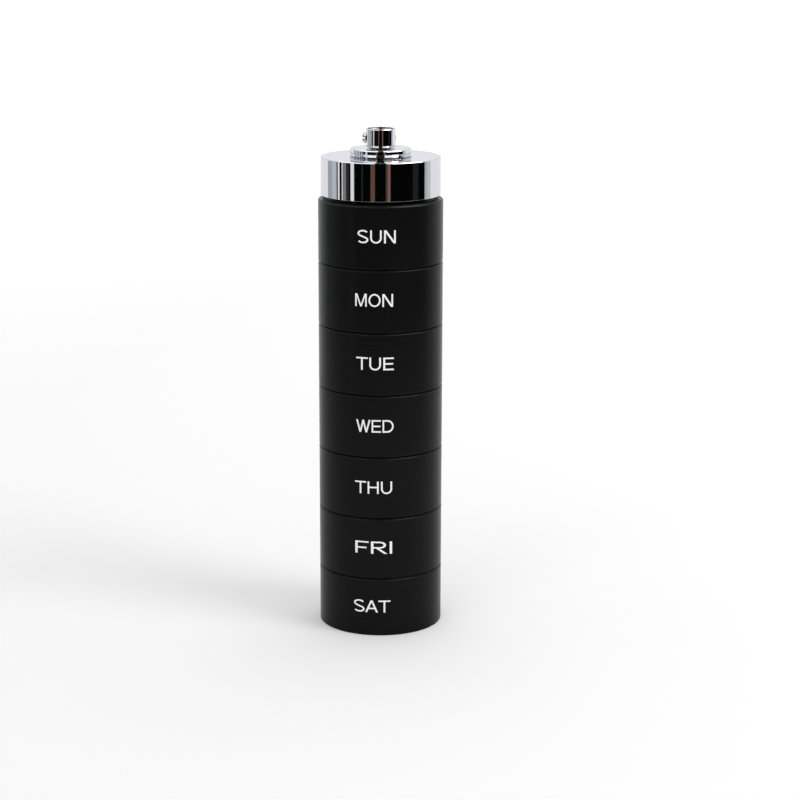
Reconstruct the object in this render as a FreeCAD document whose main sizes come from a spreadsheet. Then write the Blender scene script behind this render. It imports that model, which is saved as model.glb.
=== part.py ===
import FreeCAD, Part
import os
import re

import Sketcher

# A week's pill stack: seven round metal cups, one for each day, screwed end to end.
# Each cup has a sealing bore and an internal thread in its mouth. Each cup but the lowest
# carries a hollow screw boss under its floor, with a rubber ring in a gland above the thread.
# The chrome cap closes the top cup with the same boss, and carries a swivel stud
# with a slotted cross screw for a key ring's shackle.
# The axis is Z, the stack stands on Z = 0, and the cross screw's head points to -X.
# Threads are left as plain lands at their root sizes, with the thread's height free between them.

SIZES = (
    ("cup_radius", 13.0, "outside radius of every cup"),
    ("cup_height", 12.95, "shoulder to rim of a cup that has a boss"),
    ("base_cup_height", 12.45, "whole height of the lowest cup"),
    ("seam_gap", 0.17, "open seam between a rim and the shoulder above it"),
    ("rim_chamfer", 0.30, "outer edge of each rim"),
    ("foot_chamfer", 0.15, "outer edge of each shoulder and of the base"),
    ("seal_wall", 1.15, "wall beside the sealing bore"),
    ("seal_ledge", 0.35, "step from the sealing bore in to the thread's root"),
    ("cavity_wall", 2.20, "wall beside the compartment"),
    ("mouth_chamfer", 0.25, "lead-in at the top of the sealing bore"),
    ("base_floor", 1.20, "floor of the lowest cup"),
    ("boss_floor", 1.10, "floor at the tip of a boss"),
    ("boss_wall", 1.35, "wall of a boss inside its thread's root"),
    ("step_height", 1.00, "metal left over the gland, where the compartment narrows"),
    ("floor_fillet", 0.80, "round between a compartment's wall and its floor"),
    ("thread_length", 2.40, "threaded part of a boss"),
    ("thread_height", 0.55, "radial height of one thread ridge"),
    ("thread_clearance", 0.08, "radial room over a thread's crest"),
    ("tip_chamfer", 0.35, "lead-in at the tip of a boss"),
    ("pilot_width", 0.40, "plain land between the gland and the thread"),
    ("pilot_clearance", 0.08, "radial running room of the pilot land"),
    ("gland_width", 1.25, "groove that the rubber ring lies in"),
    ("ring_section", 1.10, "thickness of a rubber ring"),
    ("ring_clearance", 0.05, "radial room on each side of a rubber ring"),
    ("pilot_end_clearance", 0.15, "axial room under the pilot land"),
    ("boss_end_clearance", 0.30, "axial room under the boss's tip"),
    ("cap_inset", 0.53, "how far the cap's side stands inside the cups'"),
    ("cap_height", 8.15, "lower edge to top face of the cap"),
    ("cap_gap", 0.50, "open seam between the top rim and the cap"),
    ("cap_foot_chamfer", 0.35, "lower edge of the cap"),
    ("cap_top_chamfer", 0.23, "upper edge of the cap"),
    ("roof_thickness", 3.00, "metal of the cap around the swivel"),
    ("recess_radius", 8.00, "hollow under the cap's roof"),
    ("plug_seat", 0.60, "ledge that the plug seats against"),
    ("plug_thickness", 1.00, "plug that closes the cap's hollow"),
    ("plug_chamfer", 0.20, "lower edge of the plug"),
    ("fit_clearance", 0.02, "radial room of a piece that is pressed in"),
    ("flange_radius", 6.37, "disc that the swivel stud stands on"),
    ("flange_thickness", 1.70, "height of that disc"),
    ("flange_top_chamfer", 0.33, "upper edge of the disc"),
    ("flange_foot_chamfer", 0.15, "lower edge of the disc"),
    ("vee_height", 0.65, "foot of the disc to the V-groove round it"),
    ("vee_depth", 0.22, "depth of that V-groove"),
    ("spigot_radius", 3.00, "bush under the disc, pressed into the cap's roof"),
    ("shank_radius", 1.60, "shank of the swivel stud"),
    ("shank_clearance", 0.05, "radial running room of the shank"),
    ("axial_play", 0.05, "end play of the swivel stud"),
    ("tail_length", 0.70, "shank left below the clip's groove"),
    ("groove_depth", 0.45, "depth of the clip's groove"),
    ("groove_play", 0.04, "how much wider the groove is than the clip"),
    ("washer_radius", 3.60, "thrust washer under the cap's roof"),
    ("washer_thickness", 0.40, "thickness of that washer"),
    ("clip_radius", 2.70, "outside radius of the retaining clip"),
    ("clip_rim", 0.60, "radial width of the clip's bow"),
    ("clip_thickness", 0.40, "thickness of the clip"),
    ("clip_lug_width", 0.80, "width of each of the clip's three lugs"),
    ("clip_mouth", 1.80, "opening in the clip's bow"),
    ("neck_radius", 2.30, "neck between the stud's barrel and the disc"),
    ("neck_height", 0.15, "height of that neck"),
    ("barrel_radius", 3.10, "barrel of the swivel stud"),
    ("barrel_height", 3.80, "height of the barrel"),
    ("barrel_foot_chamfer", 0.45, "lower edge of the barrel"),
    ("barrel_top_chamfer", 0.45, "upper edge of the barrel"),
    ("screw_radius", 0.70, "shank of the cross screw"),
    ("screw_head_radius", 1.15, "head of the cross screw"),
    ("screw_head_height", 1.10, "height of that head"),
    ("screw_head_round", 0.85, "round between the head's side and its crown"),
    ("screw_tip_chamfer", 0.15, "tip of the cross screw"),
    ("slot_width", 0.35, "driver slot in the screw's head"),
    ("slot_depth", 0.70, "depth of that slot"),
    ("spot_depth", 0.35, "flat that is sunk in the barrel under the head"),
    ("spot_clearance", 0.10, "radial room around the head on that flat"),
)

# The days from the lowest cup to the top one.
DAYS = ("saturday", "friday", "thursday", "wednesday", "tuesday", "monday", "sunday")

CLIP_LUGS = 3
CLIP_LUG_SPREAD = 180   # degrees from the first lug to the last, opposite the bow's mouth
FULL_TURN = 360         # degrees
SCREW_LAY_ANGLE = -90   # degrees about Y that lay the screw down, its head to -X
SAME_PLACE = 1e-6       # millimetres within which two places count as one

# Lengths that follow from the sizes.
SEAL_BORE = "(cup_radius - seal_wall)"
THREAD_BORE = f"({SEAL_BORE} - seal_ledge)"
CAVITY = "(cup_radius - cavity_wall)"
PILOT = f"({SEAL_BORE} - pilot_clearance)"
BOSS = f"({THREAD_BORE} - thread_height - thread_clearance)"
BOSS_CAVITY = f"({BOSS} - boss_wall)"
GLAND = f"({SEAL_BORE} - ring_section - 2 * ring_clearance)"
BOSS_LENGTH = "(thread_length + pilot_width + gland_width)"
SEAL_DEPTH = "(gland_width + pilot_width - seam_gap + pilot_end_clearance)"
MOUTH_DEPTH = f"({BOSS_LENGTH} - seam_gap + boss_end_clearance)"
PITCH = "(cup_height + seam_gap)"
CAP_RADIUS = "(cup_radius - cap_inset)"
CAP_FOOT = f"({BOSS_LENGTH} + cap_gap - seam_gap)"
CAP_TOP = f"({CAP_FOOT} + cap_height)"
CAP_ROOF = f"({CAP_TOP} - roof_thickness)"
SPIGOT_BORE = "(spigot_radius + fit_clearance)"
PLUG_BORE = "(recess_radius + plug_seat)"
SHANK_BORE = "(shank_radius + shank_clearance)"
GROOVE_BOTTOM = "(shank_radius - groove_depth)"
GROOVE_TOP = "(tail_length + clip_thickness + groove_play)"
SHANK_TO_ROOF = f"({GROOVE_TOP} + washer_thickness + axial_play)"
NECK_FOOT = f"({SHANK_TO_ROOF} + roof_thickness + flange_thickness + axial_play)"
BARREL_FOOT = f"({NECK_FOOT} + neck_height)"
BARREL_TOP = f"({BARREL_FOOT} + barrel_height)"
BARREL_MIDDLE = f"({BARREL_FOOT} + barrel_height / 2)"
HEAD_SEAT = "(barrel_radius - spot_depth)"

ALIASES = {name for name, size, meaning in SIZES}

doc = FreeCAD.newDocument("PillStack")


# ---------------------------------------------------------------- sizes and expressions

def fill_sheet():
    """The driving dimensions, one row each: name, millimetres and what it sizes."""
    sheet = doc.addObject("Spreadsheet::Sheet", "Sizes")
    for row, (name, size, meaning) in enumerate(SIZES, start=1):
        sheet.set(f"A{row}", name)
        sheet.set(f"B{row}", str(size))
        sheet.set(f"C{row}", meaning)
        sheet.setAlias(f"B{row}", name)
    doc.recompute()
    return sheet


def from_sheet(expression):
    """The expression with each size's name pointing at its cell."""
    return re.sub(
        r"[a-z_]+",
        lambda word: f"Sizes.{word.group()}" if word.group() in ALIASES else word.group(),
        expression,
    )


def value(expression):
    """What the expression comes to now, in millimetres."""
    return float(sheet.evalExpression(from_sheet(expression)))


def bind(item, property_name, expression):
    item.setExpression(property_name, from_sheet(expression))


# ---------------------------------------------------------------- sketches

def sketch_on(body, plane, name):
    """A sketch attached to one of the body's own origin planes."""
    sketch = body.newObject("Sketcher::SketchObject", name)
    plane = next(item for item in body.Origin.OriginFeatures if item.Role == plane)
    sketch.AttachmentSupport = (plane, [""])
    sketch.MapMode = "FlatFace"
    return sketch


def hold(sketch, constraint, expression):
    """Adds a distance or a radius, and binds it to the sheet."""
    index = sketch.addConstraint(constraint)
    bind(sketch, f"Constraints[{index}]", expression)


def hold_point(sketch, geometry, end, across, up):
    """Holds a point by its distances from the sketch's two axes; "0" puts it on the axis."""
    if across == "0":
        sketch.addConstraint(Sketcher.Constraint("PointOnObject", geometry, end, -2))
    else:
        hold(
            sketch,
            Sketcher.Constraint("DistanceX", -1, 1, geometry, end, value(across)),
            across,
        )
    if up == "0":
        sketch.addConstraint(Sketcher.Constraint("PointOnObject", geometry, end, -1))
    else:
        hold(
            sketch,
            Sketcher.Constraint("DistanceY", -1, 1, geometry, end, value(up)),
            up,
        )


def draw_outline(sketch, corners):
    """A closed outline of straight edges, with every corner held."""
    spots = [FreeCAD.Vector(value(across), value(up), 0) for across, up in corners]
    ends = spots[1:] + spots[:1]
    edges = [
        sketch.addGeometry(Part.LineSegment(start, end), False)
        for start, end in zip(spots, ends)
    ]
    for edge, following in zip(edges, edges[1:] + edges[:1]):
        sketch.addConstraint(Sketcher.Constraint("Coincident", edge, 2, following, 1))
    for edge, (across, up) in zip(edges, corners):
        hold_point(sketch, edge, 1, across, up)


def draw_circle(sketch, radius, up="0"):
    """A circle on the sketch's upright axis."""
    centre = FreeCAD.Vector(0, value(up), 0)
    upright = FreeCAD.Vector(0, 0, 1)
    circle = sketch.addGeometry(Part.Circle(centre, upright, value(radius)), False)
    hold_point(sketch, circle, 3, "0", up)
    hold(sketch, Sketcher.Constraint("Radius", circle, value(radius)), radius)


# ---------------------------------------------------------------- features

def new_body(label):
    body = doc.addObject("PartDesign::Body", label)
    body.Label = label
    return body


def revolve(body, sketch, axis="V_Axis"):
    feature = body.newObject("PartDesign::Revolution", f"{body.Label}_turned")
    feature.Profile = sketch
    feature.ReferenceAxis = (sketch, [axis])
    feature.Angle = FULL_TURN
    doc.recompute()
    return feature


def turned(label, corners):
    """A body turned about its upright axis from one half section."""
    body = new_body(label)
    sketch = sketch_on(body, "XZ_Plane", f"{label}_section")
    draw_outline(sketch, corners)
    revolve(body, sketch)
    return body


def pad(body, sketch, length):
    feature = body.newObject("PartDesign::Pad", f"{sketch.Label}_pad")
    feature.Profile = sketch
    bind(feature, "Length", length)
    doc.recompute()
    return feature


def cut_through(body, sketch, both_ways):
    """A pocket through all; one way it runs against the sketch's normal."""
    before = body.Shape.Volume
    feature = body.newObject("PartDesign::Pocket", f"{sketch.Label}_cut")
    feature.Profile = sketch
    feature.Type = "ThroughAll"
    feature.Midplane = both_ways
    doc.recompute()
    if not body.Shape.Volume < before:
        raise RuntimeError(f"{feature.Label} removed nothing")


def round_edge(body, radius, height, fillet):
    """Rounds the circular edge of that radius at that height in the body's own frame."""
    tip = body.Tip
    edges = [
        f"Edge{number}"
        for number, edge in enumerate(tip.Shape.Edges, start=1)
        if isinstance(edge.Curve, Part.Circle)
        and abs(edge.Curve.Radius - value(radius)) < SAME_PLACE
        and abs(edge.Curve.Center.z - value(height)) < SAME_PLACE
    ]
    feature = body.newObject("PartDesign::Fillet", f"{body.Label}_round")
    feature.Base = (tip, edges)
    bind(feature, "Radius", fillet)
    doc.recompute()


def lift_to(item, height):
    bind(item, "Placement.Base.z", height)


# ---------------------------------------------------------------- where the pieces stand

def rim_height(day):
    """Height of a cup's rim over the ground."""
    return f"(base_cup_height + {DAYS.index(day)} * {PITCH})"


def boss_tip_height(day):
    """Height of the tip of the boss that is screwed into this day's cup."""
    return f"({rim_height(day)} + seam_gap - {BOSS_LENGTH})"


# ---------------------------------------------------------------- cups

def mouth_corners(rim):
    """Down the inside of a mouth: rim, lead-in, sealing bore, thread's root, compartment."""
    return [
        ("cup_radius", f"{rim} - rim_chamfer"),
        ("cup_radius - rim_chamfer", rim),
        (f"{SEAL_BORE} + mouth_chamfer", rim),
        (SEAL_BORE, f"{rim} - mouth_chamfer"),
        (SEAL_BORE, f"{rim} - {SEAL_DEPTH}"),
        (THREAD_BORE, f"{rim} - {SEAL_DEPTH}"),
        (THREAD_BORE, f"{rim} - {MOUTH_DEPTH}"),
        (CAVITY, f"{rim} - {MOUTH_DEPTH} - ({THREAD_BORE} - {CAVITY})"),
    ]


def boss_corners():
    """Up the outside of a boss: tip, thread's root, pilot land, gland."""
    return [
        (f"{BOSS} - tip_chamfer", "0"),
        (BOSS, "tip_chamfer"),
        (BOSS, "thread_length"),
        (PILOT, "thread_length"),
        (PILOT, "thread_length + pilot_width"),
        (GLAND, "thread_length + pilot_width"),
        (GLAND, BOSS_LENGTH),
    ]


def base_cup(day):
    """The lowest cup, closed by a flat base."""
    foot = [
        ("0", "0"),
        ("cup_radius - foot_chamfer", "0"),
        ("cup_radius", "foot_chamfer"),
    ]
    floor = [(CAVITY, "base_floor"), ("0", "base_floor")]
    body = turned(f"{day}_cup", foot + mouth_corners("base_cup_height") + floor)
    round_edge(body, CAVITY, "base_floor", "floor_fillet")


def day_cup(day, day_below):
    """A cup whose hollow boss screws into the cup below it."""
    shoulder = [
        ("cup_radius - foot_chamfer", BOSS_LENGTH),
        ("cup_radius", f"{BOSS_LENGTH} + foot_chamfer"),
    ]
    compartment = [
        (CAVITY, f"{BOSS_LENGTH} + step_height"),
        (BOSS_CAVITY, f"{BOSS_LENGTH} + step_height"),
        (BOSS_CAVITY, "boss_floor"),
        ("0", "boss_floor"),
        ("0", "0"),
    ]
    mouth = mouth_corners(f"({BOSS_LENGTH} + cup_height)")
    body = turned(f"{day}_cup", boss_corners() + shoulder + mouth + compartment)
    round_edge(body, BOSS_CAVITY, "boss_floor", "floor_fillet")
    lift_to(body, boss_tip_height(day_below))


def seal_ring(name, day_below):
    """The rubber ring in the gland of the boss that closes this day's cup."""
    ring = doc.addObject("Part::Torus", f"{name}_seal_ring")
    ring.Label = f"{name}_seal_ring"
    bind(ring, "Radius1", f"{GLAND} + ring_clearance + ring_section / 2")
    bind(ring, "Radius2", "ring_section / 2")
    lift_to(ring, f"{rim_height(day_below)} + seam_gap - gland_width / 2")


# ---------------------------------------------------------------- cap and swivel

def chrome_cap(day_below):
    """The screw cap: the cups' boss, a bright side, and a hollow under the swivel's bore."""
    side = [
        (PILOT, BOSS_LENGTH),
        (PILOT, CAP_FOOT),
        (f"{CAP_RADIUS} - cap_foot_chamfer", CAP_FOOT),
        (CAP_RADIUS, f"{CAP_FOOT} + cap_foot_chamfer"),
        (CAP_RADIUS, f"{CAP_TOP} - cap_top_chamfer"),
        (f"{CAP_RADIUS} - cap_top_chamfer", CAP_TOP),
    ]
    hollow = [
        (SPIGOT_BORE, CAP_TOP),
        (SPIGOT_BORE, CAP_ROOF),
        ("recess_radius", CAP_ROOF),
        ("recess_radius", "plug_thickness"),
        (PLUG_BORE, "plug_thickness"),
        (PLUG_BORE, "0"),
    ]
    body = turned("chrome_cap", boss_corners() + side + hollow)
    lift_to(body, boss_tip_height(day_below))


def cap_plug(day_below):
    """The disc that closes the cap's hollow, flush with the boss's tip."""
    radius = f"({PLUG_BORE} - fit_clearance)"
    body = turned("cap_plug", [
        ("0", "0"),
        (f"{radius} - plug_chamfer", "0"),
        (radius, "plug_chamfer"),
        (radius, "plug_thickness"),
        ("0", "plug_thickness"),
    ])
    lift_to(body, boss_tip_height(day_below))


def swivel_flange(roof):
    """The disc on the cap, with a V-groove round it, and the bush the stud's shank turns in."""
    disc_top = "(roof_thickness + flange_thickness)"
    vee = "(roof_thickness + vee_height)"
    body = turned("swivel_flange", [
        (SHANK_BORE, "0"),
        ("spigot_radius", "0"),
        ("spigot_radius", "roof_thickness"),
        ("flange_radius - flange_foot_chamfer", "roof_thickness"),
        ("flange_radius", "roof_thickness + flange_foot_chamfer"),
        ("flange_radius", f"{vee} - vee_depth"),
        ("flange_radius - vee_depth", vee),
        ("flange_radius", f"{vee} + vee_depth"),
        ("flange_radius", f"{disc_top} - flange_top_chamfer"),
        ("flange_radius - flange_top_chamfer", disc_top),
        (SHANK_BORE, disc_top),
    ])
    lift_to(body, roof)


def swivel_stud(foot):
    """The barrel on its shank, cross-bored for the screw, with a flat under the screw's head."""
    body = turned("swivel_stud", [
        ("0", "0"),
        ("shank_radius", "0"),
        ("shank_radius", "tail_length"),
        (GROOVE_BOTTOM, "tail_length"),
        (GROOVE_BOTTOM, GROOVE_TOP),
        ("shank_radius", GROOVE_TOP),
        ("shank_radius", NECK_FOOT),
        ("neck_radius", NECK_FOOT),
        ("neck_radius", BARREL_FOOT),
        ("barrel_radius - barrel_foot_chamfer", BARREL_FOOT),
        ("barrel_radius", f"{BARREL_FOOT} + barrel_foot_chamfer"),
        ("barrel_radius", f"{BARREL_TOP} - barrel_top_chamfer"),
        ("barrel_radius - barrel_top_chamfer", BARREL_TOP),
        ("0", BARREL_TOP),
    ])
    bore = sketch_on(body, "YZ_Plane", "cross_bore")
    draw_circle(bore, "screw_radius + fit_clearance", BARREL_MIDDLE)
    cut_through(body, bore, True)
    spot = sketch_on(body, "YZ_Plane", "head_flat")
    bind(spot, "AttachmentOffset.Base.z", f"-{HEAD_SEAT}")
    draw_circle(spot, "screw_head_radius + spot_clearance", BARREL_MIDDLE)
    cut_through(body, spot, False)
    lift_to(body, foot)


def cross_screw(foot):
    """The slotted round-head screw through the barrel; its crown points to -X."""
    head_foot = f"({HEAD_SEAT} + barrel_radius)"
    crown = f"({head_foot} + screw_head_height)"
    body = turned("cross_screw", [
        ("0", "0"),
        ("screw_radius - screw_tip_chamfer", "0"),
        ("screw_radius", "screw_tip_chamfer"),
        ("screw_radius", head_foot),
        ("screw_head_radius", head_foot),
        ("screw_head_radius", crown),
        ("0", crown),
    ])
    round_edge(body, "screw_head_radius", crown, "screw_head_round")
    slot = sketch_on(body, "XZ_Plane", "driver_slot")
    draw_outline(slot, [
        ("-slot_width / 2", f"{crown} - slot_depth"),
        ("slot_width / 2", f"{crown} - slot_depth"),
        ("slot_width / 2", crown),
        ("-slot_width / 2", crown),
    ])
    cut_through(body, slot, True)
    lying = FreeCAD.Rotation(FreeCAD.Vector(0, 1, 0), SCREW_LAY_ANGLE)
    body.Placement = FreeCAD.Placement(FreeCAD.Vector(0, 0, 0), lying)
    bind(body, "Placement.Base.x", "barrel_radius")
    lift_to(body, f"{foot} + {BARREL_MIDDLE}")


def thrust_washer(foot):
    """The loose washer between the cap's roof and the retaining clip."""
    disc = doc.addObject("Part::Cylinder", "thrust_washer_disc")
    bind(disc, "Radius", "washer_radius")
    bind(disc, "Height", "washer_thickness")
    bore = doc.addObject("Part::Cylinder", "thrust_washer_bore")
    bind(bore, "Radius", SHANK_BORE)
    bind(bore, "Height", "washer_thickness")
    washer = doc.addObject("Part::Cut", "thrust_washer")
    washer.Label = "thrust_washer"
    washer.Base = disc
    washer.Tool = bore
    lift_to(washer, f"{foot} + {GROOVE_TOP}")


def retaining_clip(foot):
    """The sprung clip in the shank's groove: an open bow with three lugs."""
    body = new_body("retaining_clip")
    bow = sketch_on(body, "XY_Plane", "clip_bow")
    draw_circle(bow, "clip_radius")
    draw_circle(bow, "clip_radius - clip_rim")
    pad(body, bow, "clip_thickness")
    lug = sketch_on(body, "XY_Plane", "clip_lug")
    lug_end = "clip_radius - clip_rim / 2"
    draw_outline(lug, [
        ("-clip_lug_width / 2", "0"),
        ("clip_lug_width / 2", "0"),
        ("clip_lug_width / 2", lug_end),
        ("-clip_lug_width / 2", lug_end),
    ])
    lug_pad = pad(body, lug, "clip_thickness")
    lugs = body.newObject("PartDesign::PolarPattern", "clip_lugs")
    lugs.Originals = [lug_pad]
    lugs.Axis = (lug, ["N_Axis"])
    lugs.Angle = CLIP_LUG_SPREAD
    lugs.Occurrences = CLIP_LUGS
    body.Tip = lugs
    doc.recompute()
    bore = sketch_on(body, "XY_Plane", "clip_bore")
    draw_circle(bore, f"{GROOVE_BOTTOM} + fit_clearance")
    cut_through(body, bore, True)
    mouth = sketch_on(body, "XY_Plane", "clip_mouth_gap")
    draw_outline(mouth, [
        ("0", "-clip_mouth / 2"),
        ("clip_radius", "-clip_mouth / 2"),
        ("clip_radius", "clip_mouth / 2"),
        ("0", "clip_mouth / 2"),
    ])
    cut_through(body, mouth, True)
    lift_to(body, f"{foot} + {GROOVE_TOP} - clip_thickness")


# ---------------------------------------------------------------- the whole stack

def build():
    """Makes every piece, from the lowest cup to the screw in the swivel stud."""
    base_cup(DAYS[0])
    for day_below, day in zip(DAYS, DAYS[1:]):
        day_cup(day, day_below)
        seal_ring(day, day_below)
    top_day = DAYS[-1]
    seal_ring("cap", top_day)
    chrome_cap(top_day)
    cap_plug(top_day)
    roof = f"({boss_tip_height(top_day)} + {CAP_ROOF})"
    swivel_flange(roof)
    stud_foot = f"({roof} - {SHANK_TO_ROOF})"
    swivel_stud(stud_foot)
    thrust_washer(stud_foot)
    retaining_clip(stud_foot)
    cross_screw(stud_foot)
    doc.recompute()


def finished_pieces():
    """Every piece that gets a file: the bodies, the rings and the washer."""
    kinds = ("PartDesign::Body", "Part::Torus", "Part::Cut")
    return [item for item in doc.Objects if item.TypeId in kinds]


def check_document():
    """Stops if any object failed, or any piece is empty or broken."""
    for item in doc.Objects:
        if "Invalid" in item.State or "Error" in item.State:
            raise RuntimeError(f"{item.Label} failed: {item.State}")
    for piece in finished_pieces():
        if piece.Shape.isNull() or not piece.Shape.isValid():
            raise RuntimeError(f"{piece.Label} has no valid shape")
        if len(piece.Shape.Solids) != 1:
            raise RuntimeError(f"{piece.Label} is not one solid")


def write_parts():
    os.makedirs("parts", exist_ok=True)
    for piece in finished_pieces():
        piece.Shape.exportStep(f"parts/{piece.Label}.step")
        print(f"{piece.Label}: {piece.Shape.Volume:.1f} mm3")


sheet = fill_sheet()
build()
check_document()
write_parts()
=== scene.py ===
"""Dresses a packed pill stack: seven screwed cups, a bright screw cap and a swivel stud.

The packed model gives every piece its place. This script turns the cups, the cap, the swivel
disc and the stud again with eased edges and real screw threads, prints the day on each cup,
gives every piece its finish, and sets the stage.
"""
import math

import bmesh
import bpy
import numpy as np
from mathutils import Matrix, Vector
from mathutils.geometry import tessellate_polygon


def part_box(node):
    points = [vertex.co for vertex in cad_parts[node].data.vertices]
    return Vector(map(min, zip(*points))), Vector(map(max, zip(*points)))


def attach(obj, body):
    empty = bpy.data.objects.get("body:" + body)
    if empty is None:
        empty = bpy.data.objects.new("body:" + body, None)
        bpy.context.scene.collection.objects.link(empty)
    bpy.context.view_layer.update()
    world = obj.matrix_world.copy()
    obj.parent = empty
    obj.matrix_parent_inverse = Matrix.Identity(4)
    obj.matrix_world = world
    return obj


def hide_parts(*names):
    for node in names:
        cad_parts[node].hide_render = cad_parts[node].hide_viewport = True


bl_info = {
    "name": "Pill Stack",
    "version": (1, 0, 0),
    "blender": (4, 5, 0),
    "location": "View3D > Sidebar > Pill Stack",
    "description": "Turns, prints and finishes a stack of screwed pill cups",
    "category": "Object",
}

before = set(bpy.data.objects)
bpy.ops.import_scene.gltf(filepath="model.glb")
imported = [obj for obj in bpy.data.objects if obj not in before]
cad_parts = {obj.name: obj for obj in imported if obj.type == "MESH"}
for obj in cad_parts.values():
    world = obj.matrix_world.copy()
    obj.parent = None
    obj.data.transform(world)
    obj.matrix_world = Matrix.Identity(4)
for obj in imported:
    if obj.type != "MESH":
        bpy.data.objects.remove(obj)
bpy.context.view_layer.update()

MM = 0.001
UP = 2                      # index of the upright axis
FULL_TURN = 2 * math.pi

# Each day from the lowest cup to the top one, and where its name stands:
# degrees round from the front, and millimetres above the middle of the cup's side.
DAY_MARKS = {
    "saturday": ("SAT", -7.6, 0.23),
    "friday": ("FRI", -6.1, 0.29),
    "thursday": ("THU", -6.2, 0.18),
    "wednesday": ("WED", -4.9, 0.20),
    "tuesday": ("TUE", -4.8, 0.27),
    "monday": ("MON", -5.6, 0.37),
    "sunday": ("SUN", -3.2, 0.32),
}
DAYS = tuple(DAY_MARKS)


# ------------------------------------------------------------------ properties

def length(name, millimetres, description):
    """A length property, whose default is given in millimetres."""
    return bpy.props.FloatProperty(
        name=name, description=description, default=millimetres * MM,
        unit="LENGTH", subtype="DISTANCE", precision=5)


def share(name, default, description):
    """A property from 0 to 1."""
    return bpy.props.FloatProperty(
        name=name, description=description, default=default, min=0, max=1, subtype="FACTOR")


def amount(name, default, description):
    """A plain property that isn't negative."""
    return bpy.props.FloatProperty(name=name, description=description, default=default, min=0)


def angle(name, degrees, description):
    """An angle property, whose default is given in degrees."""
    return bpy.props.FloatProperty(
        name=name, description=description, default=math.radians(degrees),
        unit="ROTATION", subtype="ANGLE")


def colour(name, default, description):
    """A colour property: red, green and blue from 0 to 1."""
    return bpy.props.FloatVectorProperty(
        name=name, description=description, default=default, size=3,
        min=0, max=1, subtype="COLOR")


class CupSizes(bpy.types.PropertyGroup):
    """Sizes of the cups and of the screw joint between them"""
    rim_chamfer: length("Rim chamfer", 0.30, "Outer edge of each rim")
    foot_chamfer: length("Foot chamfer", 0.15, "Outer edge of each shoulder")
    seal_wall: length("Seal wall", 1.15, "Wall beside the sealing bore")
    seal_ledge: length("Seal ledge", 0.35, "Step from the sealing bore to the thread's root")
    cavity_wall: length("Cavity wall", 2.20, "Wall beside the compartment")
    mouth_chamfer: length("Mouth chamfer", 0.25, "Lead-in at the top of the sealing bore")
    base_floor: length("Base floor", 1.20, "Floor of the lowest cup")
    boss_floor: length("Boss floor", 1.10, "Floor at the tip of a boss")
    boss_wall: length("Boss wall", 1.35, "Wall of a boss inside its thread's root")
    step_height: length("Step height", 1.00, "Metal left over the ring's groove")
    floor_round: length("Floor round", 0.80, "Round between a compartment's wall and floor")
    thread_length: length("Thread length", 2.40, "Threaded part of a boss")
    tip_chamfer: length("Tip chamfer", 0.35, "Lead-in at the tip of a boss")
    pilot_width: length("Pilot width", 0.40, "Plain land between the groove and the thread")
    pilot_clearance: length("Pilot clearance", 0.08, "Radial running room of that land")
    gland_width: length("Gland width", 1.25, "Groove that the rubber ring lies in")
    ring_clearance: length("Ring clearance", 0.05, "Radial room on each side of a ring")
    seal_depth: length("Seal depth", 1.63, "Rim to the lower end of the sealing bore")
    mouth_depth: length("Mouth depth", 4.18, "Rim to the lower end of the thread")
    edge_round: length("Edge round", 0.045, "How far a turned edge is eased")
    outer_round: length("Outer round", 0.10, "How far the outer edges of a seam are eased")


class ThreadSizes(bpy.types.PropertyGroup):
    """The right-handed trapezoid thread of every screw joint"""
    lead: length("Lead", 1.20, "How far a full turn moves the cup")
    ridge_height: length("Ridge height", 0.55, "Radial height of a ridge")
    clearance: length("Clearance", 0.08, "Radial room over a ridge's crest")
    root_width: length("Root width", 0.62, "Width of a ridge at its foot")
    crest_width: length("Crest width", 0.30, "Width of a ridge at its crest")
    corner_round: length("Corner round", 0.03, "How far a ridge's corners are eased")
    run_out: length("Run-out", 0.30, "Height over which a ridge fades at its ends")


class CapSizes(bpy.types.PropertyGroup):
    """Sizes of the bright screw cap and the swivel disc on it"""
    cap_gap: length("Cap gap", 0.50, "Open seam between the top rim and the cap")
    foot_chamfer: length("Cap foot chamfer", 0.35, "Lower edge of the cap")
    top_chamfer: length("Cap top chamfer", 0.14, "Upper edge of the cap")
    roof_thickness: length("Roof thickness", 3.00, "Metal of the cap around the swivel")
    recess_radius: length("Recess radius", 8.00, "Hollow under the cap's roof")
    fit_clearance: length("Fit clearance", 0.02, "Radial room of a pressed piece")
    disc_top_chamfer: length("Disc top chamfer", 0.17, "Upper edge of the disc")
    disc_foot_chamfer: length("Disc foot chamfer", 0.15, "Lower edge of the disc")
    vee_height: length("V-groove height", 0.65, "Foot of the disc to the V-groove round it")
    vee_half: length("V-groove half width", 0.24, "Half the width of that V-groove")
    vee_depth: length("V-groove depth", 0.12, "Depth of that V-groove")
    spigot_radius: length("Spigot radius", 3.00, "Bush under the disc")
    shank_bore: length("Shank bore", 1.65, "Bore that the stud's shank turns in")


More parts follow.
